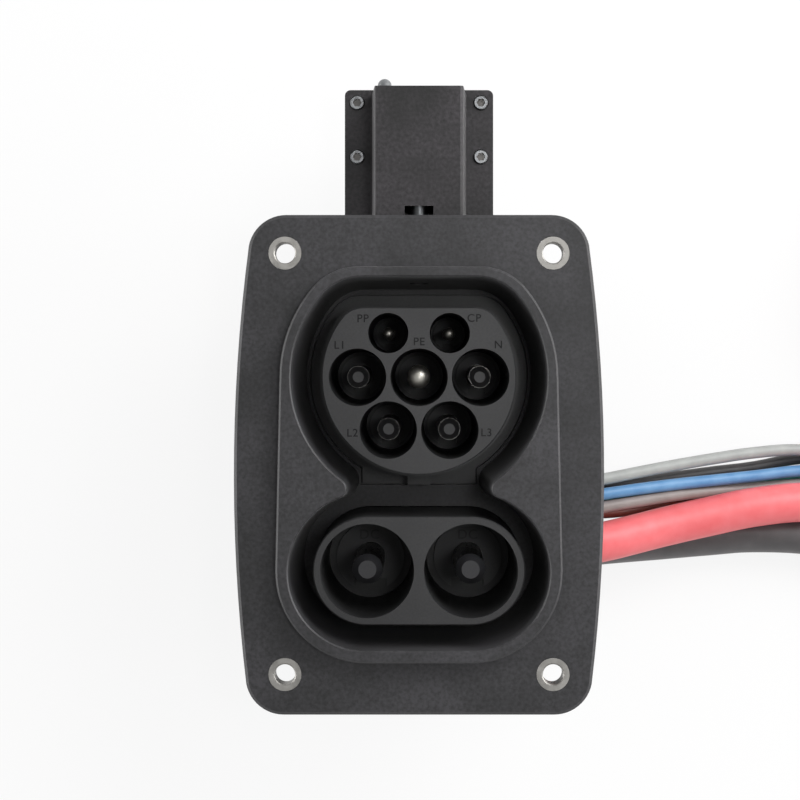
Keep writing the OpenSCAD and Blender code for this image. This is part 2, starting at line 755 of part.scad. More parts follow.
module seal_clamp() {
    color("#1b1b1d") difference() {
        block([outlet_x, exit_x], outlet_y, [rest_z + 1, carrier_rear - 1]);
        block([outlet_x - 1, exit_x + 1], [window_y[0] + 2.4, window_y[1] - 2], [window_z[0] + 1, window_z[1] - 1.4]);
        for (y = clamp_y, z = clamp_z) translate([outlet_x - 1, y, z]) rotate([0, 90, 0])
            cylinder(r = 1.5, h = clamp_t + 2, $fn = 24);
    }
}

module clamp_screws() {
    color("#8b8f94") for (y = clamp_y, z = clamp_z) translate([exit_x, y, z]) rotate([0, 90, 0])
        screw(1.25, 11, 2.6, 1.8);
}

// Lock actuator

// Plate with the ears and two rounded corners
module ear_plate(z0, z1) {
    side = ear_half_w - ear_corner;
    both() {
        block([0, ear_half_w], [act_y0 + 1, ear_top - ear_corner], [z0, z1]);
        block([0, side], [act_y0 + 1, ear_top], [z0, z1]);
        translate([side, ear_top - ear_corner, z0]) cylinder(r = ear_corner, h = z1 - z0, $fn = 24);
    }
}

module actuator_base() {
    pocket_r = 5.8;
    color("#1b1b1d") difference() {
        union() {
            ear_plate(base_z, act_rear - fit);
            block([-tower_half, tower_half], [52.5, act_y0 + 2], [act_rear - 5, act_rear - fit]);
            // stand of the gear axle
            translate([gear_c[0], gear_c[1], act_rear - 1]) cylinder(r = 3.2, h = wheel_z - act_rear + 1 - 0.3);
        }
        translate([motor_c[0], motor_c[1], base_z + 1.7]) cylinder(r = pocket_r, h = 20);
        translate([gear_c[0], gear_c[1], base_z + 3]) cylinder(r = axle_r + run, h = act_front_z - base_z, $fn = 24);
        both() for (y = screw_y) translate([screw_x, y, base_z + 1]) cylinder(r = 1.3, h = 12, $fn = 24);
        both() translate([6, 57, act_rear - 6]) cylinder(r = 1.5, h = 8, $fn = 24);
    }
}

module base_screws() {
    color("#8b8f94") both() translate([6, 57, act_rear - 5]) mirror([0, 0, 1]) screw(1.25, 14, 2.6, 1.8);
}

module actuator_cover() {
    notch_half = 3.85;
    edge = 0.8;
    half_edge = 0.25;
    color("#1f1f22") difference() {
        union() {
            along_y(act_y0, act_y1) polygon([[-act_half_rear, ear_z - 1], [act_half_rear, ear_z - 1],
                [act_half_front, act_front_z - edge], [act_half_front - half_edge, act_front_z - half_edge],
                [act_half_front - edge, act_front_z], [edge - act_half_front, act_front_z],
                [half_edge - act_half_front, act_front_z - half_edge], [-act_half_front, act_front_z - edge]]);
            ear_plate(act_rear, ear_z);
        }
        along_y(act_y0 + act_wall, act_y1 - act_wall) polygon([[act_wall - act_half_rear, act_rear - 1],
            [act_half_rear - act_wall, act_rear - 1], [act_half_front - act_wall, act_front_z - act_wall],
            [act_wall - act_half_front, act_front_z - act_wall]]);
        block([-notch_half, notch_half], [act_y0 - 1, act_y0 + 2.6], [pin_z - 4, act_front_z + 1]);
        translate([rod_x, act_y1 + 1, pin_z]) rotate([90, 0, 0])
            cylinder(r = rod_r + 0.3, h = act_y1 + 1 - slider_y[0], $fn = 24);
        both() for (y = screw_y) translate([screw_x, y, act_rear - 1]) {
            cylinder(r = 1.5, h = 8, $fn = 24);
            translate([0, 0, ear_t + 0.2]) cylinder(r = 2.15, h = 4, $fn = 24);
        }
    }
}

module actuator_screws() {
    color("#6f7276") both() for (y = screw_y) translate([screw_x, y, ear_z - 0.8]) screw(1.25, 8, 1.95, 1.6);
}

module motor() {
    shaft_hole = 0.8;
    color("#a9adb2") translate([motor_c[0], motor_c[1], base_z + 1.8]) difference() {
        union() {
            cylinder(r = 5.5, h = 14);
            translate([0, 0, 13.9]) cylinder(r = 2, h = 1.1, $fn = 24);
        }
        translate([0, 0, 10]) cylinder(r = shaft_hole, h = 8, $fn = 24);
        both() block([4.7, 6], [-6, 6], [-1, 11]);
    }
}

module limit_switch() {
    color("#2a2a2c") {
        block([-10.2, -4.6], [69, 76], [act_rear, -17]);
        block([-10.2, -8.9], [69.5, 71.5], [-17.1, slider_z[0] - 0.6]);
    }
}

module gear_axle() {
    color("#b9bcc0") translate([gear_c[0], gear_c[1], base_z + 3])
        cylinder(r = axle_r, h = act_front_z - base_z - 5, $fn = 24);
}

module pin_seal() {
    color("#141416") translate([0, tower_top, pin_z]) rotate([90, 0, 0]) difference() {
        cylinder(d = pin_d + 4, h = 2.9);
        translate([0, 0, -1]) cylinder(d = pin_d + 2*run, h = 5);
    }
}

module lock_pin() {
    lead = 0.8;
    color("#b4b7bb") translate([0, slider_y[0], pin_z]) rotate([90, 0, 0]) {
        cylinder(d = pin_d, h = slider_y[0] - pin_tip_y - lead);
        translate([0, 0, slider_y[0] - pin_tip_y - lead]) cylinder(d1 = pin_d, d2 = pin_d - 2*lead, h = lead);
    }
}

// Rack bar beside the gear with a foot under it that carries the pin
module lock_slider() {
    pitch = PI*rack_m;
    add = 0.85*rack_m;
    ded = 1.25*rack_m;
    half = pitch/4 - backlash/2;
    slope = tan(20);
    color("#d8d6cf") {
        block([rod_x + rod_r, rack_x - ded], slider_y, slider_z);
        block([rod_x + rod_r, 3.2], [slider_y[0], slider_y[0] + 2.5], slider_z);
        block([rod_x - 1, rod_x + rod_r + 1], [slider_y[1] - 4, slider_y[1]], slider_z);
        translate([0, 0, slider_z[0]]) linear_extrude(slider_z[1] - slider_z[0]) for (k = [-2:3])
            translate([rack_x, gear_c[1] + (k + 0.5)*pitch])
                polygon([[-ded - 0.1, -half - ded*slope], [-ded, -half - ded*slope], [add, -half + add*slope],
                         [add, half - add*slope], [-ded, half + ded*slope], [-ded - 0.1, half + ded*slope]]);
    }
}

module release_knob() {
    color("#8f9296") translate([rod_x, slider_y[1], pin_z]) rotate([-90, 0, 0]) {
        cylinder(r = rod_r, h = rod_top - slider_y[1] - rod_r, $fn = 32);
        translate([0, 0, rod_top - slider_y[1] - rod_r]) intersection() {
            sphere(r = rod_r, $fn = 32);
            translate([0, 0, -0.1]) cylinder(r = rod_r + 1, h = rod_r + 1);
        }
    }
}

// Involute tooth outline of a spur gear with a tooth on the X axis
function inv(a) = tan(a)*180/PI - a;
function flank(n, m, r) = 90/n - backlash/(n*m)*90/PI + inv(20) - inv(acos(min(1, n*m/2*cos(20)/r)));
function gear_tooth(n, m) = let (r = n*m/2, lo = r - 1.2*m, hi = r + 0.85*m,
    radii = [lo, max(lo, r*cos(20)), r, (r + hi)/2, hi])
    concat([for (q = radii) q*[cos(-flank(n, m, q)), sin(-flank(n, m, q))]],
           [for (i = [4:-1:0]) radii[i]*[cos(flank(n, m, radii[i])), sin(flank(n, m, radii[i]))]]);

module spur_gear(n, m, h) {
    outline = [for (k = [0:n - 1]) for (p = gear_tooth(n, m))
        [p[0]*cos(k*360/n) - p[1]*sin(k*360/n), p[0]*sin(k*360/n) + p[1]*cos(k*360/n)]];
    linear_extrude(h) polygon(outline);
}

module drive_gear() {
    pinion_top = slider_z[1] - 0.2;
    color("#d8d6cf") translate([gear_c[0], gear_c[1], 0]) difference() {
        union() {
            translate([0, 0, wheel_z]) rotate(mesh_angle) spur_gear(wheel_n, wheel_m, wheel_t);
            translate([0, 0, wheel_z + wheel_t - 0.1])
                spur_gear(pinion_n, rack_m, pinion_top - wheel_z - wheel_t + 0.1);
        }
        translate([0, 0, wheel_z - 1]) cylinder(r = axle_r + run, h = 20, $fn = 24);
    }
}

module motor_pinion() {
    shaft_r = 0.75;
    color("#b59a55") translate([motor_c[0], motor_c[1], 0]) {
        translate([0, 0, wheel_z - 0.4]) rotate(mesh_angle + 180 + 180/motor_n)
            spur_gear(motor_n, wheel_m, wheel_t + 0.8);
        translate([0, 0, base_z + 13]) cylinder(r = shaft_r, h = wheel_z - base_z - 13, $fn = 24);
    }
}

// Cords: one tube swept along each route, and the loop of the loom on the table

function route_dir(p, i) = unit(p[min(i + 1, len(p) - 1)] - p[max(i - 1, 0)]);
function route_ring(c, t, r, n) = let (s = unit(cross(t, [0, 0, 1])), u = cross(s, t))
    [for (k = [0:n - 1]) c + r*(cos(360*k/n)*s + sin(360*k/n)*u)];

module tube(p, d, n) {
    rings = [for (i = [0:len(p) - 1]) route_ring(p[i], route_dir(p, i), d/2, n)];
    points = [for (q = rings) each q];
    last = (len(p) - 1)*n;
    sides = [for (i = [0:len(p) - 2], k = [0:n - 1]) let (a = i*n + k, b = i*n + (k + 1)%n) each
        [[a, b, b + n], [a, b + n, a + n]]];
    polyhedron(points, concat(sides, [[for (k = [n - 1:-1:0]) k]], [[for (k = [0:n - 1]) last + k]]));
}

module dc_positive_cable() color("#c3271f") tube(pos_route, dc_cable_d, 12);
module dc_negative_cable() color("#1c1c1e") tube(neg_route, dc_cable_d, 12);
module l1_wire() color("#6b4326") tube(l1_route, wire_d, 8);
module l2_wire() color("#1c1c1e") tube(l2_route, wire_d, 8);
module l3_wire() color("#8d9094") tube(l3_route, wire_d, 8);
module n_wire() color("#2f6fae") tube(n_route, wire_d, 8);
module pe_wire() color("#3f8a4f") tube(pe_route, wire_d, 8);
module signal_lead() color("#8d9094") tube(signal_route, wire_d, 8);

module loom_coil() {
    color("#2a2a2c") translate([loop_c[0], loop_c[1], rest_z]) rotate_extrude()
        translate([loop_r[0], 0]) square([loop_r[1] - loop_r[0], loop_h]);
}

// Drawing

front_housing();
mounting_sleeves();
ac_core();
dc_core();
l1_contact();
l2_contact();
l3_contact();
n_contact();
pe_contact();
pp_contact();
cp_contact();
dc_positive_contact();
dc_negative_contact();
ac_pin_caps();
dc_pin_caps();
contact_seals();
dc_contact_seals();
contact_carrier();
rear_seal();
temp_sensors();
rear_cover();
cover_screws();
cable_seal();
seal_clamp();
clamp_screws();
actuator_base();
base_screws();
actuator_cover();
actuator_screws();
motor();
limit_switch();
gear_axle();
pin_seal();
lock_pin();
lock_slider();
release_knob();
drive_gear();
motor_pinion();
dc_positive_cable();
dc_negative_cable();
l1_wire();
l2_wire();
l3_wire();
n_wire();
pe_wire();
signal_lead();
loom_coil();
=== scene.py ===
# %% [markdown]
# Charge port inlet
#
# The solids of this part come from CAD and stay as they are. This lesson dresses them: it places the camera
# and the light, lays the eight cords, adds the small pieces that CAD leaves out, and gives every solid the
# finish of the material that the real piece is made of. Blender works in metres in the CAD frame. Routes
# and the sizes of small pieces are written in millimetres, and MM turns them to metres.

# %% Load the frame
import math
import bpy
from mathutils import Matrix, Vector


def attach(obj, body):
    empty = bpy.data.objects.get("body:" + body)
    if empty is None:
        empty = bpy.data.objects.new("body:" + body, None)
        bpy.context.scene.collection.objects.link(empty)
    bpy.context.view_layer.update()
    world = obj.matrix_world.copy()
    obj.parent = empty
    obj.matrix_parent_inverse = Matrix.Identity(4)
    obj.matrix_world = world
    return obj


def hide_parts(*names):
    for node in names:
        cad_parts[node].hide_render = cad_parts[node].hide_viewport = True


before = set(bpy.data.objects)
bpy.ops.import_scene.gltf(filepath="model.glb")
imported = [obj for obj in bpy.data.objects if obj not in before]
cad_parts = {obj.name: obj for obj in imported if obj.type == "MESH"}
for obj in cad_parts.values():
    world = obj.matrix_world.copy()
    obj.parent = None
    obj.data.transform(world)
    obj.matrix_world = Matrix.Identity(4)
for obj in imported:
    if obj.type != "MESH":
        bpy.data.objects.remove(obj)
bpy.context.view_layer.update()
MM = 0.001
bpy.ops.object.select_all(action="DESELECT")

# %% [markdown]
# Camera
#
# The inlet lies on its back and is photographed from straight above. The camera looks down the Z axis, and
# a lens shift keeps its axis where the photograph has it: the sides of the flange and the wells show no
# tilt, so turning the camera to frame the part would be wrong.

# %% Place the camera
CAMERA_PLACE = (0, 0.0284, 0.556)
CAMERA_LENS = 94.83
CAMERA_SHIFT = (-0.02375, -0.05625)
camera_data = bpy.data.cameras.new("studio_camera")
camera_data.sensor_width = 36
camera_data.lens = CAMERA_LENS
camera_data.shift_x = CAMERA_SHIFT[0]
camera_data.shift_y = CAMERA_SHIFT[1]
camera = bpy.data.objects.new("studio_camera", camera_data)
camera.location = CAMERA_PLACE
bpy.context.collection.objects.link(camera)
bpy.context.scene.camera = camera
print("camera", tuple(camera.location), "lens", camera_data.lens)

# %% [markdown]
# Cords
#
# Eight leads come out of the rear cover: two thick DC cables and six thin wires. They droop to the table
# and lie there. A bevelled Bezier curve is the plain way to model a cable: its points are the route of the
# CAD solid, its bevel is the jacket, and its auto handles keep every bend smooth. The length that the
# photograph doesn't show is wound into one loop beside the part, just as a loom is tied up for the shelf.

# %% Routes of the cords in millimetres
LOOP_CENTRE = Vector((198, 42, 0))
DC_SIZE = 11.4
WIRE_SIZE = 3.4
DC_LENGTH = 480
WIRE_LENGTH = 400
LOOP_STEP = math.radians(20)
ROUTES = {
    "dc_positive": [(27.7, -27.7, -45.5), (30.7, -27.7, -45.5), (38, -27, -45.5), (46, -26.2, -45.6),
                    (54, -24.8, -47.2), (62, -23.1, -49.6), (70, -21.3, -51.8), (84, -18.3, -53.6),
                    (98, -15.6, -54.9), (114, -14.4, -57), (131, -16, -60.2), (148, -18.6, -62.6),
                    (165, -19.8, -63.2), (182, -20, -63.2)],
    "dc_negative": [(0.7, -27.7, -59), (20, -27.7, -59), (34, -27.7, -59), (46, -27.7, -59.1),
                    (54, -27.1, -60.2), (62, -26.6, -61.9), (70, -26.1, -63.3), (84, -25, -64.2),
                    (98, -24, -64.2), (120, -25.2, -64), (145, -29.6, -63.4), (165, -32, -63.2),
                    (182, -33, -63.2)],
    "l3": [(36, -8.5, -44), (45.5, -8.2, -44.2), (54, -6.8, -45.6), (64, -5, -48.4), (75, -3.2, -52),
           (86, -1.6, -55.6), (98, -0.1, -59), (111, 0.6, -62), (127, -0.6, -63.6), (144, -2.4, -63.7),
           (162, -3, -63.7), (180, -3, -63.7)],
    "n": [(36, -12.5, -44), (45.5, -12.3, -44.2), (54, -11.1, -45.6), (64, -9.9, -48.4), (75, -8.8, -52),
          (86, -7.9, -55.6), (98, -6.9, -59), (111, -5.6, -62), (127, -5.2, -63.6), (144, -6.6, -63.7),
          (162, -7, -63.7), (180, -7, -63.7)],
    "signal": [(36, -16.5, -44), (45.5, -16.3, -44.2), (54, -14.8, -45.8), (64, -13.4, -49), (75, -12, -53),
               (86, -11.2, -57.4), (98, -10.6, -61.4), (111, -9.6, -63.4), (127, -9.2, -63.7),
               (144, -10.8, -63.7), (162, -11, -63.7), (180, -11, -63.7)],
    "l2": [(36, -8.5, -49), (45.5, -8.6, -49.2), (54, -8.9, -50.6), (64, -8.2, -53.4), (75, -7, -57),
           (86, -5.8, -60.6), (98, -4.6, -64.2), (111, -2.4, -66.8), (127, -1.6, -67.8), (144, -2.4, -67.4),
           (162, -3, -67.2), (180, -3, -67.2)],
    "pe": [(36, -12.5, -49), (45.5, -12.5, -49.2), (54, -12.5, -50.6), (64, -11.6, -53.4), (75, -10.8, -57),
           (86, -10, -60.8), (98, -9, -64.4), (111, -6.9, -67), (127, -6, -67.8), (144, -6.8, -67.4),
           (162, -7, -67.2), (180, -7, -67.2)],
    "l1": [(36, -16.5, -49), (45.5, -16.7, -49.4), (54, -17, -51.6), (64, -16.2, -56.4), (75, -14.9, -61.2),
           (86, -13.8, -65.2), (98, -13, -67.4), (111, -12, -68.2), (127, -10.8, -67.9), (144, -11, -67.4),
           (162, -11, -67.2), (180, -11, -67.2)],
}


def with_loop(lead, length):
    """The lead's points and the loop's, counter-clockwise from its lowest, until the length is used up."""
    points = [Vector(p) for p in lead]
    radius = LOOP_CENTRE.y - points[-1].y
    start = Vector((LOOP_CENTRE.x, points[-1].y, points[-1].z))
    used = sum((b - a).length for a, b in zip(points, points[1:] + [start]))
    turn = (length - used)/radius
    steps = math.ceil(turn/LOOP_STEP)
    for k in range(steps + 1):
        angle = -math.pi/2 + turn*k/steps
        x = LOOP_CENTRE.x + radius*math.cos(angle)
        y = LOOP_CENTRE.y + radius*math.sin(angle)
        points.append(Vector((x, y, start.z)))
    return points


# %% Draw each cord as a bevelled curve
def draw_cord(name, points, size):
    curve = bpy.data.curves.new(name, "CURVE")
    curve.dimensions = "3D"
    curve.resolution_u = 10
    curve.bevel_depth = size/2*MM
    curve.bevel_resolution = 7 if size == DC_SIZE else 4
    curve.use_fill_caps = True
    spline = curve.splines.new("BEZIER")
    spline.bezier_points.add(len(points) - 1)
    for knot, place in zip(spline.bezier_points, points):
        knot.co = place*MM
        knot.handle_left_type = "AUTO"
        knot.handle_right_type = "AUTO"
    piece = bpy.data.objects.new(name, curve)
    bpy.context.collection.objects.link(piece)
    return piece


cords = {}
ends = {}
for name, lead in ROUTES.items():
    thick = name.startswith("dc")
    points = with_loop(lead, DC_LENGTH if thick else WIRE_LENGTH)
    cords[name] = draw_cord(name + "_cord", points, DC_SIZE if thick else WIRE_SIZE)
    spoke = points[-1] - LOOP_CENTRE
    ends[name] = (points[-1], Vector((-spoke.y, spoke.x, 0)).normalized())
    print(name, len(points), "points, ends at", [round(v) for v in points[-1]])

# %% [markdown]
# Stripped ends
#
# The loom is delivered with bare ends, ready for crimping: each jacket is cut back and a bundle of copper
# strands shows. One strand is a cylinder with a bevelled tip, and a bundle is that strand copied on rings.
# A twist would not show at this size, so the strands stay straight.

# %% Edit helpers
def start_edit(piece):
    bpy.ops.object.select_all(action="DESELECT")
    piece.select_set(True)
    bpy.context.view_layer.objects.active = piece
    bpy.ops.object.mode_set(mode="EDIT")


def select_faces(piece, test):
    """Selects, in edit mode, the faces whose centre and normal pass the test."""
    bpy.ops.mesh.select_mode(type="FACE")
    bpy.ops.mesh.select_all(action="DESELECT")
    bpy.ops.object.mode_set(mode="OBJECT")
    for face in piece.data.polygons:
        face.select = test(face.center, face.normal)
    bpy.ops.object.mode_set(mode="EDIT")


def join_as(name, parts):
    bpy.ops.object.select_all(action="DESELECT")
    for part in parts:
        part.select_set(True)
    bpy.context.view_layer.objects.active = parts[0]
    bpy.ops.object.join()
    parts[0].name = name
    return parts[0]


# %% Make one strand bundle for each cord
# for each kind of lead: the bundle across, the bare length, and the rings of strands round the middle one
DC_BUNDLE = (8.6, 12, 3)
WIRE_BUNDLE = (2.3, 7, 2)
TUCKED_IN = 1.5
STRAND_SIDES = 10
# shares of the strand's thickness and of the bare length
TIP_BEVEL = 0.25
UNEVEN_CUT = 0.02


def strand_bundle(name, across, bare, rings):
    strand = across/(2*rings + 1)
    bpy.ops.mesh.primitive_cylinder_add(vertices=STRAND_SIDES, radius=strand/2*MM, depth=bare*MM,
                                        location=(0, 0, 0))
    first = bpy.context.active_object
    start_edit(first)
    select_faces(first, lambda centre, normal: normal.z > 0.9)
    bpy.ops.mesh.bevel(offset=TIP_BEVEL*strand*MM, segments=2, affect="EDGES")
    bpy.ops.object.mode_set(mode="OBJECT")
    bpy.ops.object.shade_smooth_by_angle(angle=math.radians(40))
    strands = [first]
    for ring in range(1, rings + 1):
        for k in range(6*ring):
            turn = 2*math.pi*k/(6*ring)
            copy = first.copy()
            copy.data = first.data.copy()
            x = ring*strand*math.cos(turn)
            y = ring*strand*math.sin(turn)
            z = -UNEVEN_CUT*bare*(k % 3)
            copy.data.transform(Matrix.Translation((x*MM, y*MM, z*MM)))
            bpy.context.collection.objects.link(copy)
            strands.append(copy)
    return join_as(name, strands)


bundles = {}
for name, (place, along) in ends.items():
    across, bare, rings = DC_BUNDLE if name.startswith("dc") else WIRE_BUNDLE
    bundle = strand_bundle(name + "_strands", across, bare, rings)
    turn = along.to_track_quat("Z", "Y").to_matrix().to_4x4()
    bundle.data.transform(Matrix.Translation((place + along*(bare/2 - TUCKED_IN))*MM) @ turn)
    bundles[name] = bundle
print("strand bundles", len(bundles))

# %% [markdown]
# Cable ties
#
# Three nylon ties hold the loop flat. A tie starts as a block of its outer size: the long edges are
# bevelled round, the two open faces are inset by the thickness of the strap and bridged into a ring, and a
# face of the ring is extruded into the head.

# %% Model one tie
TIE_LENGTH = 39.8
TIE_WIDTH = 3.6
TIE_HEIGHT = 13.6
TIE_ROUND = 3.2
STRAP = 1.05
# the middle of the strap's upper side, which tells its outer faces from the inner ones
STRAP_LEVEL = (TIE_HEIGHT - STRAP)/2
HEAD_HALF = 4
HEAD_RISE = 2.6
HEAD_BEVEL = 0.4
bpy.ops.mesh.primitive_cube_add(size=1, location=(0, 0, 0),
                                scale=(TIE_LENGTH*MM, TIE_WIDTH*MM, TIE_HEIGHT*MM))
tie = bpy.context.active_object
bpy.ops.object.transform_apply(location=False, rotation=False, scale=True)
start_edit(tie)
bpy.ops.mesh.select_mode(type="EDGE")
bpy.ops.mesh.select_all(action="DESELECT")
bpy.ops.object.mode_set(mode="OBJECT")
for edge in tie.data.edges:
    a, b = (tie.data.vertices[i].co for i in edge.vertices)
    edge.select = abs(a.y - b.y) > 0.5*TIE_WIDTH*MM
bpy.ops.object.mode_set(mode="EDIT")
bpy.ops.mesh.bevel(offset=TIE_ROUND*MM, segments=6, affect="EDGES")
select_faces(tie, lambda centre, normal: abs(normal.y) > 0.9)
bpy.ops.mesh.inset(thickness=STRAP*MM, use_even_offset=True)
bpy.ops.mesh.bridge_edge_loops()
select_faces(tie, lambda centre, normal: normal.z > 0.9 and centre.z > STRAP_LEVEL*MM)
bpy.ops.mesh.subdivide(number_cuts=4)
select_faces(tie, lambda centre, normal: (normal.z > 0.9 and centre.z > STRAP_LEVEL*MM
                                          and abs(centre.x) < HEAD_HALF*MM))
bpy.ops.mesh.extrude_region_move(TRANSFORM_OT_translate={"value": (0, 0, HEAD_RISE*MM)})
bpy.ops.mesh.bevel(offset=HEAD_BEVEL*MM, segments=2, affect="EDGES")
bpy.ops.object.mode_set(mode="OBJECT")
bpy.ops.object.shade_smooth_by_angle(angle=math.radians(35))
print("tie", len(tie.data.polygons), "faces")

# %% Copy the tie round the loop
LOOP_MIDDLE = 62
LOOP_LEVEL = -63.2
TIE_ANGLES = (-40, 45, 125)
ties = [tie]
for k in range(1, len(TIE_ANGLES)):
    copy = tie.copy()
    copy.data = tie.data.copy()
    bpy.context.collection.objects.link(copy)
    ties.append(copy)
for k, copy in enumerate(ties):
    angle = math.radians(TIE_ANGLES[k])
    aside = Vector((LOOP_MIDDLE*math.cos(angle), LOOP_MIDDLE*math.sin(angle), LOOP_LEVEL))
    copy.name = "loom_tie_%d" % (k + 1)
    copy.data.transform(Matrix.Translation((LOOP_CENTRE + aside)*MM) @ Matrix.Rotation(angle, 4, "Z"))
print("ties", [copy.name for copy in ties])

# %% [markdown]
# Terminal marks
#
# The face of the AC core carries the usual names of its seven contacts beside the wells, and the floors of
# the two large wells say DC. They are moulded in and read a little darker than the face. Text objects give
# the letters: each is made a mesh with a hair of thickness and set at its place.

# %% Set the letters on the core face and the well floors
FACE = 9
DC_FLOOR = -30.5
FACE_LETTER = 2.9
FLOOR_LETTER = 3.8
LETTER_GAP = 1.1
LETTER_SWELL = 0.02
LETTER_DEPTH = 0.04
MARKS = [("PP", -14.6, 37.8, FACE), ("CP", 14.3, 37.9, FACE), ("PE", 0, 31.8, FACE),
         ("L1", -20.6, 30.9, FACE), ("N", 20.6, 31, FACE), ("L2", -17.3, 8.1, FACE),
         ("L3", 17.5, 8.2, FACE), ("DC", -13.8, -21.6, DC_FLOOR), ("DC", 13.5, -21.6, DC_FLOOR)]
letters = {FACE: [], DC_FLOOR: []}
for word, x, y, z in MARKS:
    bpy.ops.object.text_add(location=(0, 0, 0))
    text = bpy.context.active_object
    text.data.body = word
    text.data.size = (FACE_LETTER if z == FACE else FLOOR_LETTER)*MM
    text.data.align_x = "CENTER"
    text.data.align_y = "CENTER"
    text.data.space_character = LETTER_GAP
    text.data.offset = LETTER_SWELL*MM
    text.data.extrude = LETTER_DEPTH*MM
    bpy.ops.object.convert(target="MESH")
    text = bpy.context.active_object
    text.data.transform(Matrix.Translation((x*MM, y*MM, z*MM)))
    letters[z].append(text)
marks = join_as("terminal_marks", letters[FACE])
floor_marks = join_as("dc_floor_marks", letters[DC_FLOOR])
print("marks", len(marks.data.polygons), "and", len(floor_marks.data.polygons), "faces")

# %% [markdown]
# Colours and nodes
#
# Colours are written as they are seen, as sRGB hex values, and one function turns them to the linear values
# that Cycles works in. One more adds a shader node with its settings and links, which keeps each material
# short. The last two start a material and darken it with painted shade below a level of the part.

# %% Helpers for all materials
def linear(code):
    parts = [int(code[i:i + 2], 16)/255 for i in (1, 3, 5)]
    return tuple(v/12.92 if v <= 0.04045 else ((v + 0.055)/1.055)**2.4 for v in parts) + (1,)


def add(tree, kind, links=None, **settings):
    """Adds a shader node. Settings are its properties, and links are its inputs: a socket or a value."""
    node = tree.nodes.new("ShaderNode" + kind)
    for name, value in settings.items():
        setattr(node, name, value)
    for name, value in (links or {}).items():
        if isinstance(value, bpy.types.NodeSocket):
            tree.links.new(value, node.inputs[name])
        else:
            node.inputs[name].default_value = value
    return node


def new_material(name):
    """A material with its node tree, its shader and the object coordinate that its patterns are laid on."""
    material = bpy.data.materials.new(name)
    material.use_nodes = True
    tree = material.node_tree
    shader = tree.nodes["Principled BSDF"]
    place = add(tree, "TexCoord").outputs["Object"]
    return material, tree, shader, place


# the depth over which the painted shade fades in below its level
PAINTED_SHADE_EDGE = 0.3


def painted_deep_shade(tree, place, level_mm, shade, colour):
    """The colour, turned to a painted shade below a level of the part."""
    up = add(tree, "SeparateXYZ", {"Vector": place}).outputs["Z"]
    clear = add(tree, "MapRange", {"Value": up, "From Min": (level_mm - PAINTED_SHADE_EDGE)*MM,
                                   "From Max": level_mm*MM}).outputs["Result"]
    mixed = add(tree, "MixRGB", {"Fac": clear, "Color1": linear(shade), "Color2": colour})
    return mixed.outputs["Color"]


# %% [markdown]
# Moulded plastics
#
# The housing is glass-filled nylon, moulded against a spark-eroded steel tool. That leaves a fine grain,
# which scatters the light, and slow patches where the filler lies nearer to the surface. Seen along the
# surface, as on the steep walls of the recess, the grain gives a pale sheen. The cores are a smoother
# grade. Noise at the grain's size drives the bump and the roughness, and a broad noise shifts the colour by
# a few percent.

# %% Plastic finishes
PATCH_MM = 18
# painted shade for the drain notches of the contact carrier
NOTCH_PAINTED_SHADE = "#0e0e0f"
ROUGH_SPREAD = 0.08
SHEEN_ROUGHNESS = 0.3


def moulded(name, dark, pale, grain_mm, rough, bump, ior=1.5, shadow_below=None, sheen=0.0):
    material, tree, shader, place = new_material(name)
    grain = add(tree, "TexNoise", {"Vector": place, "Scale": 1000/grain_mm, "Detail": 2.0}).outputs["Fac"]
    patch = add(tree, "TexNoise", {"Vector": place, "Scale": 1000/PATCH_MM, "Detail": 4.0}).outputs["Fac"]
    speck = add(tree, "Math", {0: grain, 1: patch}, operation="MULTIPLY").outputs["Value"]
    tone = add(tree, "ValToRGB", {"Fac": speck})
    tone.color_ramp.elements[0].position = 0.12
    tone.color_ramp.elements[0].color = linear(dark)
    tone.color_ramp.elements[1].position = 0.42
    tone.color_ramp.elements[1].color = linear(pale)
    gloss = add(tree, "MapRange", {"Value": grain, "To Min": rough - ROUGH_SPREAD,
                                   "To Max": rough + ROUGH_SPREAD}).outputs["Result"]
    # the grain stands a twentieth of its width high
    height = add(tree, "Bump", {"Height": grain, "Strength": bump,
                                "Distance": 0.05*grain_mm*MM}).outputs["Normal"]
    shown = tone.outputs["Color"]
    # painted shade below a level, where one is given
    if shadow_below is not None:
        shown = painted_deep_shade(tree, place, shadow_below, NOTCH_PAINTED_SHADE, shown)
    tree.links.new(shown, shader.inputs["Base Color"])
    tree.links.new(gloss, shader.inputs["Roughness"])
    tree.links.new(height, shader.inputs["Normal"])
    shader.inputs["IOR"].default_value = ior
    shader.inputs["Sheen Weight"].default_value = sheen
    shader.inputs["Sheen Roughness"].default_value = SHEEN_ROUGHNESS
    return material


# grain of 0.15 mm on the real part, drawn at 0.9 mm so that a pixel shows it
nylon = moulded("glass_filled_nylon", "#1d1d1e", "#3a393c", 0.9, 0.5, 0.5, sheen=0.06)
# polished tool: a denser, smoother face
core_nylon = moulded("smooth_black_nylon", "#222223", "#303031", 0.6, 0.45, 0.2)
# the actuator's cover comes from another tool, with a coarser grain, a warmer black and more sheen
cover_nylon = moulded("grained_cover_nylon", "#0a090a", "#373337", 1.0, 0.5, 0.6, sheen=0.25)
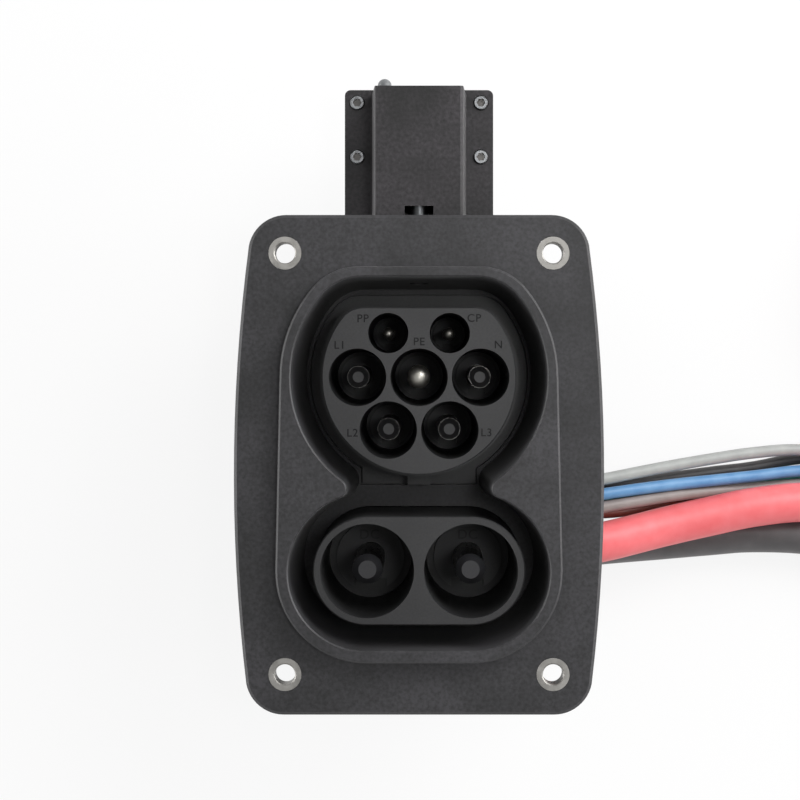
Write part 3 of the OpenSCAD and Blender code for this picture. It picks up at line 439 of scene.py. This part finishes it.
# painted shade in the drain notches, which starts half a millimetre below the well floors
carrier_nylon = moulded("carrier_nylon", "#2a2a2c", "#343436", 0.6, 0.5, 0.2, shadow_below=DC_FLOOR - 0.5)
cap_plastic = moulded("grey_cap_plastic", "#353536", "#3f3f40", 0.5, 0.4, 0.15)
dc_cap_plastic = moulded("black_cap_plastic", "#262628", "#313134", 0.5, 0.4, 0.15)
acetal = moulded("natural_acetal", "#cfcdc6", "#dcdad3", 0.8, 0.35, 0.1, 1.48)
knob_plastic = moulded("grey_knob_plastic", "#6b6d6f", "#7b7d7f", 0.5, 0.38, 0.1)
sensor_epoxy = moulded("blue_sensor_epoxy", "#24406e", "#34568c", 0.9, 0.3, 0.1, 1.55)
mark_ink = moulded("moulded_mark_shade", "#101011", "#171718", 0.4, 0.7, 0.1, 1.3)
floor_mark_ink = moulded("moulded_floor_mark_shade", "#18181a", "#202022", 0.4, 0.6, 0.1)
tie_nylon = moulded("black_tie_nylon", "#161617", "#1f1f21", 0.7, 0.4, 0.15)
print("plastics made")

# %% [markdown]
# Metals
#
# Sleeves and screws are zinc-plated steel, which is bright but slightly cloudy. The contacts are turned
# copper alloy with silver plating, smooth and pale. The rings that turning leaves are too fine to see here,
# so a broad haze in colour and gloss and a fine noise in the bump give the plated look.

# %% Metal finishes
FINE_MM = 0.3
# painted shade for the drives of the ear screws
DRIVE_PAINTED_SHADE = "#676563"


def plated(name, colour, cloud, rough, spread, cloud_mm, shadow_below=None):
    material, tree, shader, place = new_material(name)
    haze = add(tree, "TexNoise", {"Vector": place, "Scale": 1000/cloud_mm, "Detail": 5.0}).outputs["Fac"]
    fine = add(tree, "TexNoise", {"Vector": place, "Scale": 1000/FINE_MM, "Detail": 1.0}).outputs["Fac"]
    tone = add(tree, "ValToRGB", {"Fac": haze})
    tone.color_ramp.elements[0].position = 0.35
    tone.color_ramp.elements[0].color = linear(cloud)
    tone.color_ramp.elements[1].position = 0.65
    tone.color_ramp.elements[1].color = linear(colour)
    gloss = add(tree, "MapRange", {"Value": haze, "From Min": 0.3, "From Max": 0.7,
                                   "To Min": rough - spread, "To Max": rough + spread}).outputs["Result"]
    height = add(tree, "Bump", {"Height": fine, "Strength": 0.08, "Distance": 0.01*MM}).outputs["Normal"]
    shown = tone.outputs["Color"]
    # painted shade below a level, where one is given
    if shadow_below is not None:
        shown = painted_deep_shade(tree, place, shadow_below, DRIVE_PAINTED_SHADE, shown)
    tree.links.new(shown, shader.inputs["Base Color"])
    tree.links.new(gloss, shader.inputs["Roughness"])
    tree.links.new(height, shader.inputs["Normal"])
    shader.inputs["Metallic"].default_value = 1.0
    return material


zinc_steel = plated("zinc_plated_steel", "#aaa8a4", "#979591", 0.5, 0.08, 2.5)
dull_zinc = plated("dull_zinc_screw", "#8f9294", "#737577", 0.4, 0.08, 1.5)
# painted shade in the drive of these four screws, below the flat of the head
EAR_SCREW_FLAT = -23.5
ear_screw_zinc = plated("dull_zinc_ear_screw", "#a3a5a7", "#8b8d8f", 0.38, 0.08, 1.5,
                        shadow_below=EAR_SCREW_FLAT)
burnished_steel = plated("burnished_pin_steel", "#77797b", "#66686a", 0.35, 0.08, 1.5)
# the power and DC contacts take a darker copy of the silver, which is painted shade; the earth and signal
# pins keep it bright
silver = plated("painted_shade_silver_contact", "#8f8d8b", "#757371", 0.3, 0.06, 1.5)
bright_silver = plated("bright_silver_contact", "#dedbd2", "#cfccc3", 0.42, 0.06, 1.5)
machined_brass = plated("machined_brass", "#c9ab62", "#b59452", 0.3, 0.06, 2)
bright_copper = plated("bright_copper_strand", "#d99a76", "#c98560", 0.3, 0.08, 1)
print("metals made")

# %% [markdown]
# Rubber and cable jackets
#
# Seals are matte silicone. The jackets are extruded cross-linked polyolefin: satin, with a light bloom. A
# noise of a few millimetres in colour and gloss reads as the faint mottle of an extruded jacket, and a
# finer one in the bump keeps its highlight soft.

# %% Jacket finishes
MOTTLE_MM = 5
SKIN_MM = 0.5


def jacket(name, colour, bloom, rough=0.42, ior=1.5):
    material, tree, shader, place = new_material(name)
    mottle = add(tree, "TexNoise", {"Vector": place, "Scale": 1000/MOTTLE_MM, "Detail": 5.0}).outputs["Fac"]
    fine = add(tree, "TexNoise", {"Vector": place, "Scale": 1000/SKIN_MM, "Detail": 2.0}).outputs["Fac"]
    tone = add(tree, "ValToRGB", {"Fac": mottle})
    tone.color_ramp.elements[0].position = 0.3
    tone.color_ramp.elements[0].color = linear(colour)
    tone.color_ramp.elements[1].position = 0.75
    tone.color_ramp.elements[1].color = linear(bloom)
    gloss = add(tree, "MapRange", {"Value": mottle, "To Min": rough - 0.06,
                                   "To Max": rough + 0.1}).outputs["Result"]
    height = add(tree, "Bump", {"Height": fine, "Strength": 0.12, "Distance": 0.02*MM}).outputs["Normal"]
    tree.links.new(tone.outputs["Color"], shader.inputs["Base Color"])
    tree.links.new(gloss, shader.inputs["Roughness"])
    tree.links.new(height, shader.inputs["Normal"])
    shader.inputs["IOR"].default_value = ior
    return material


JACKETS = {
    "dc_positive": jacket("red_cable_jacket", "#e9686c", "#ee7a7e"),
    "dc_negative": jacket("black_cable_jacket", "#4f4d4e", "#5e5b5c"),
    "l3": jacket("grey_wire_jacket", "#939593", "#a5a7a5"),
    "n": jacket("blue_wire_jacket", "#4d7fae", "#6a95bd"),
    "signal": jacket("warm_grey_lead_jacket", "#7d7370", "#8e8481"),
    "l2": jacket("black_wire_jacket", "#3a3839", "#4a4848"),
    "pe": jacket("green_wire_jacket", "#3f8f86", "#55a39a"),
    "l1": jacket("brown_wire_jacket", "#7a3d33", "#8c4a40"),
}
seal_rubber = jacket("black_silicone_seal", "#141416", "#1d1d1f", 0.6, 1.43)
red_seal = jacket("red_silicone_seal", "#7a2f22", "#8f3d2e", 0.55, 1.43)
print("jackets made")

# %% [markdown]
# Dress the solids
#
# Each CAD solid keeps its shape and takes the finish of its own material. The table goes by node, because
# the record's slots group pieces by class, while the eye also tells a screw head from a sleeve.

# %% Give every CAD node its finish
FINISHES = {
    nylon: ["front_housing", "rear_cover", "seal_clamp", "actuator_base"],
    core_nylon: ["ac_core", "dc_core", "limit_switch"],
    cover_nylon: ["actuator_cover"],
    carrier_nylon: ["contact_carrier"],
    cap_plastic: ["ac_pin_caps"],
    dc_cap_plastic: ["dc_pin_caps"],
    acetal: ["lock_slider", "drive_gear"],
    knob_plastic: ["release_knob"],
    sensor_epoxy: ["temp_sensors"],
    zinc_steel: ["mounting_sleeves", "motor", "gear_axle"],
    burnished_steel: ["lock_pin"],
    dull_zinc: ["cover_screws", "clamp_screws", "base_screws"],
    ear_screw_zinc: ["actuator_screws"],
    silver: ["l1_contact", "l2_contact", "l3_contact", "n_contact", "dc_positive_contact",
             "dc_negative_contact"],
    bright_silver: ["pe_contact", "pp_contact", "cp_contact"],
    machined_brass: ["motor_pinion"],
    seal_rubber: ["rear_seal", "cable_seal", "pin_seal"],
    red_seal: ["contact_seals", "dc_contact_seals"],
}
dressed = 0
for material, names in FINISHES.items():
    for name in names:
        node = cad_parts[name]
        node.data.materials.clear()
        node.data.materials.append(material)
        dressed += 1
print("dressed", dressed, "of", len(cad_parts), "solids")

# %% [markdown]
# Attach the new pieces
#
# Each cord and its bare end ride on the inlet and stand in for the faceted solid of its route, which is
# hidden. Ties and marks only ride on the inlet.

# the CAD solids of the cords whose names are not the cord's name with _wire
REPLACED = {"dc_positive": "dc_positive_cable", "dc_negative": "dc_negative_cable", "signal": "signal_lead"}
for name, cord in cords.items():
    thick = name.startswith("dc")
    cord.data.materials.append(JACKETS[name])
    bundles[name].data.materials.append(bright_copper)
    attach(cord, "inlet")
    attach(bundles[name], "inlet")
    solids = [REPLACED.get(name, name + "_wire")]
    if name == "dc_negative":
        solids.append("loom_coil")
    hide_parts(*solids)
for copy in ties:
    copy.data.materials.append(tie_nylon)
    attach(copy, "inlet")
for piece, shade, slot in ((marks, mark_ink, "core"), (floor_marks, floor_mark_ink, "carrier")):
    piece.data.materials.clear()
    piece.data.materials.append(shade)
    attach(piece, "inlet")
print("declared", len(cords), "cords and", len(ties), "ties")

# %% [markdown]
# Floor and light
#
# The photograph has a white ground and soft light: a broad box at the top right that lays a sheen on the
# flange, strips at both sides that draw thin lines on the collar's edges, and a weak lamp near the camera
# that looks down into the wells. The floor is white to the camera and to reflections, and takes a little
# real light, so that it keeps a faint shadow.

# %% Floor
FLOOR_LEVEL = -0.0702
FLOOR_GLOW = 0.85


def seen_directly(tree):
    """1 for the rays of the camera and of mirror images, 0 for those that only gather light."""
    path = add(tree, "LightPath").outputs
    first = add(tree, "Math", {0: path["Is Camera Ray"], 1: path["Is Glossy Ray"]}, operation="MAXIMUM")
    seen = add(tree, "Math", {0: first.outputs["Value"], 1: path["Is Transmission Ray"]},
               operation="MAXIMUM")
    return seen.outputs["Value"]


bpy.ops.object.select_all(action="DESELECT")
bpy.ops.mesh.primitive_plane_add(size=6, location=(0, 0, FLOOR_LEVEL))
floor = bpy.context.active_object
floor.name = "studio_floor"
floor_paint = bpy.data.materials.new("white_studio_floor")
floor_paint.use_nodes = True
tree = floor_paint.node_tree
tree.nodes.remove(tree.nodes["Principled BSDF"])
share = add(tree, "Math", {0: seen_directly(tree), 1: FLOOR_GLOW}, operation="MULTIPLY").outputs["Value"]
matte = add(tree, "BsdfDiffuse", {"Color": linear("#f4f4f4")}).outputs["BSDF"]
glow = add(tree, "Emission", {"Color": linear("#ffffff"), "Strength": 1.0}).outputs["Emission"]
mixed = add(tree, "MixShader", {"Fac": share, 1: matte, 2: glow}).outputs["Shader"]
tree.links.new(mixed, tree.nodes["Material Output"].inputs["Surface"])
floor.data.materials.append(floor_paint)
print("floor at", FLOOR_LEVEL)

# %% World
# white walls all round and a darker ceiling, which the black faces mirror
AMBIENT = 0.75
CEILING = 0.4
CEILING_STARTS = 0.15
CEILING_FULL = 0.7
world = bpy.data.worlds.new("studio_world")
bpy.context.scene.world = world
world.use_nodes = True
tree = world.node_tree
level = add(tree, "MapRange", {"Value": seen_directly(tree), "To Min": AMBIENT,
                               "To Max": 1.0}).outputs["Result"]
way = add(tree, "TexCoord").outputs["Generated"]
rise = add(tree, "SeparateXYZ", {"Vector": way}).outputs["Z"]
ceiling = add(tree, "MapRange", {"Value": rise, "From Min": CEILING_STARTS, "From Max": CEILING_FULL,
                                 "To Min": 1.0, "To Max": CEILING}).outputs["Result"]
strength = add(tree, "Math", {0: level, 1: ceiling}, operation="MULTIPLY").outputs["Value"]
tree.links.new(strength, tree.nodes["Background"].inputs["Strength"])
tree.nodes["Background"].inputs["Color"].default_value = linear("#ffffff")
print("world set")


# %% Lamps
def softbox(name, place, aim, size, watts):
    lamp = bpy.data.lights.new(name, "AREA")
    lamp.shape = "RECTANGLE"
    lamp.size = size[0]
    lamp.size_y = size[1]
    lamp.energy = watts
    holder = bpy.data.objects.new(name, lamp)
    holder.location = place
    holder.rotation_euler = (Vector(aim) - Vector(place)).to_track_quat("-Z", "Y").to_euler()
    bpy.context.collection.objects.link(holder)


MIDDLE = (0, 0.02, 0)
softbox("key_softbox", (0.35, 0.4, 0.46), MIDDLE, (0.35, 0.35), 2.6)
softbox("front_softbox", (0.13, 0.06, 0.8), MIDDLE, (0.1, 0.1), 0.64)
softbox("left_strip", (-0.75, 0.05, 0.1), MIDDLE, (0.7, 0.2), 3.4)
softbox("right_strip", (0.75, 0.2, 0.2), (0, 0.04, 0), (0.7, 0.25), 5.6)
bpy.context.scene.view_settings.view_transform = "Standard"
print("lamps set")
